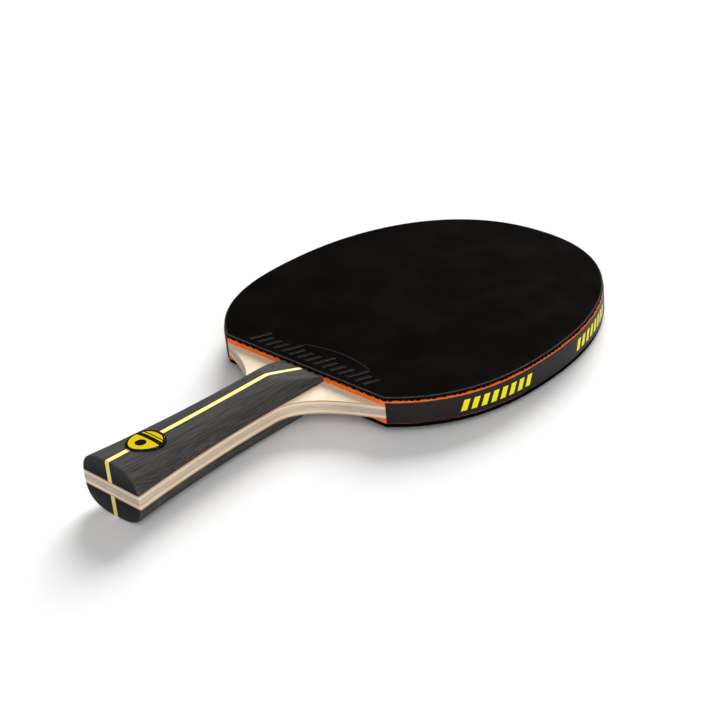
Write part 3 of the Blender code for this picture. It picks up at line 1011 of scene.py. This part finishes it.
def resin():
    """Clear, with a mirror's share that grows with the ninth power of how far the surface turns away."""
    material, tree, shader, place = start_material("clear_lens")
    shader.inputs["Base Color"].default_value = colour(250, 250, 250)
    shader.inputs["Metallic"].default_value = 1.0
    scuffs = between(tree, noise(tree, place, 900.0, 4.0, 0.7), 0.45, 0.75, 0.04, 0.16)
    put(tree, shader.inputs["Roughness"], scuffs)
    bump(tree, shader, noise(tree, place, 160.0, 2.0), 0.15, 0.03)
    clear = add(tree, "BsdfTransparent", {"Color": colour(252, 251, 248)})
    facing = add(tree, "LayerWeight", {"Blend": 0.5}).outputs["Facing"]
    turned_away = calc(tree, "POWER", facing, 9.0)
    shine = calc(tree, "MULTIPLY_ADD", turned_away, GRAZING_SHINE, STRAIGHT_SHINE)
    mixed = add(tree, "MixShader", {0: shine, 1: clear.outputs[0], 2: shader.outputs[0]})
    tree.links.new(mixed.outputs[0], tree.nodes["Material Output"].inputs["Surface"])
    return material


plate_grid, lens_grid = badge_grid(plate_radii, plate_grows), badge_grid(lens_radii, lens_grows)
add_piece("badge_face", [plate_grid], "badge_plate", badge_print(), ("radius",))
add_piece("badge_lens", [lens_grid], "badge_dome", resin(), ("radius",), ROUNDED_EDGE)

# %% [markdown]
# ## The floor, the light and the camera
#
# The paddle lies on its back: the butt's lower rim and the underside of the tip touch the floor, so the
# floor is tipped by a little over one degree in the paddle's own frame. It is a large pale sheet. A broad
# lamp from behind gives one soft shadow that falls towards us. A weaker lamp from the front lights the
# sides that we see, and an even pale sky fills the rest.

# %% The floor
REST_NEAR = (-0.1274, 0.0)
REST_FAR = (0.1280, 0.0056)
FLOOR_HALF = 14.0


def make_floor():
    """A square that passes through the two lines on which the paddle rests."""
    rise = (REST_FAR[1] - REST_NEAR[1]) / (REST_FAR[0] - REST_NEAR[0])
    x = np.array([-FLOOR_HALF, FLOOR_HALF, FLOOR_HALF, -FLOOR_HALF])
    y = np.array([-FLOOR_HALF, -FLOOR_HALF, FLOOR_HALF, FLOOR_HALF])
    z = REST_NEAR[1] + (y - REST_NEAR[0]) * rise - 0.00005
    mesh = bpy.data.meshes.new("floor")
    mesh.from_pydata(np.column_stack([x, y, z]).tolist(), [], [(0, 1, 2, 3)])
    material, tree, shader, place = start_material("pale_paper")
    tint = blend(tree, noise(tree, place, 18.0, 3.0), colour(236, 236, 236), colour(239, 239, 239))
    put(tree, shader.inputs["Base Color"], tint)
    put(tree, shader.inputs["Roughness"], between(tree, noise(tree, place, 900.0), 0.3, 0.7, 0.86, 0.94))
    shader.inputs["Specular IOR Level"].default_value = 0.1
    bump(tree, shader, noise(tree, place, 2500.0), 0.1, 0.02)
    mesh.materials.append(material)
    floor = bpy.data.objects.new("floor", mesh)
    bpy.context.scene.collection.objects.link(floor)
    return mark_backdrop(floor)


make_floor()
print("the floor is", 2 * FLOOR_HALF, "m wide")

# %% The light
BEHIND, IN_FRONT = (0.93, 0.34, 0.58), (-0.85, 0.10, 0.50)
SKY_STRENGTH = 0.27
VIEW_TURN = math.radians(46.31)
FORWARD = Vector((-math.sin(VIEW_TURN), math.cos(VIEW_TURN), 0))
RIGHTWARD = Vector((math.cos(VIEW_TURN), math.sin(VIEW_TURN), 0))


def lamp(name, seen_at, energy, width):
    """A far lamp, seen at forward, rightward and up of the paddle, and as wide as an angle in degrees."""
    forward, rightward, up = seen_at
    towards = FORWARD * forward + RIGHTWARD * rightward + Vector((0, 0, up))
    data = bpy.data.lights.new(name, "SUN")
    data.energy = energy
    data.angle = math.radians(width)
    obj = bpy.data.objects.new(name, data)
    obj.rotation_euler = towards.to_track_quat("Z", "Y").to_euler()
    obj.location = towards * 0.6
    bpy.context.scene.collection.objects.link(obj)


lamp("broad_lamp", BEHIND, energy=4.4, width=36)
lamp("front_lamp", IN_FRONT, energy=1.9, width=60)
world = bpy.data.worlds.new("pale_sky")
bpy.context.scene.world = world
world.use_nodes = True
sky = world.node_tree.nodes["Background"]
sky.inputs["Color"].default_value = (1, 1, 1, 1)
sky.inputs["Strength"].default_value = SKY_STRENGTH
bpy.context.scene.view_settings.view_transform = "Standard"
print("two lamps and a sky of strength", SKY_STRENGTH)

# %% The camera
CAMERA_PLACE = (0.4730, -0.4457, 0.3653)
LOOKS_DOWN = math.radians(28.75)
ROLL = math.radians(-5.42)
camera_data = bpy.data.cameras.new("camera")
camera_data.lens = 88.49
camera_data.sensor_width = 36.0
camera = bpy.data.objects.new("camera", camera_data)
turned = Matrix.Rotation(VIEW_TURN, 4, "Z") @ Matrix.Rotation(math.pi / 2 - LOOKS_DOWN, 4, "X")
camera.matrix_world = Matrix.Translation(CAMERA_PLACE) @ turned @ Matrix.Rotation(ROLL, 4, "Z")
bpy.context.scene.collection.objects.link(camera)
bpy.context.scene.camera = camera
print("camera at", [round(v, 4) for v in camera.location])
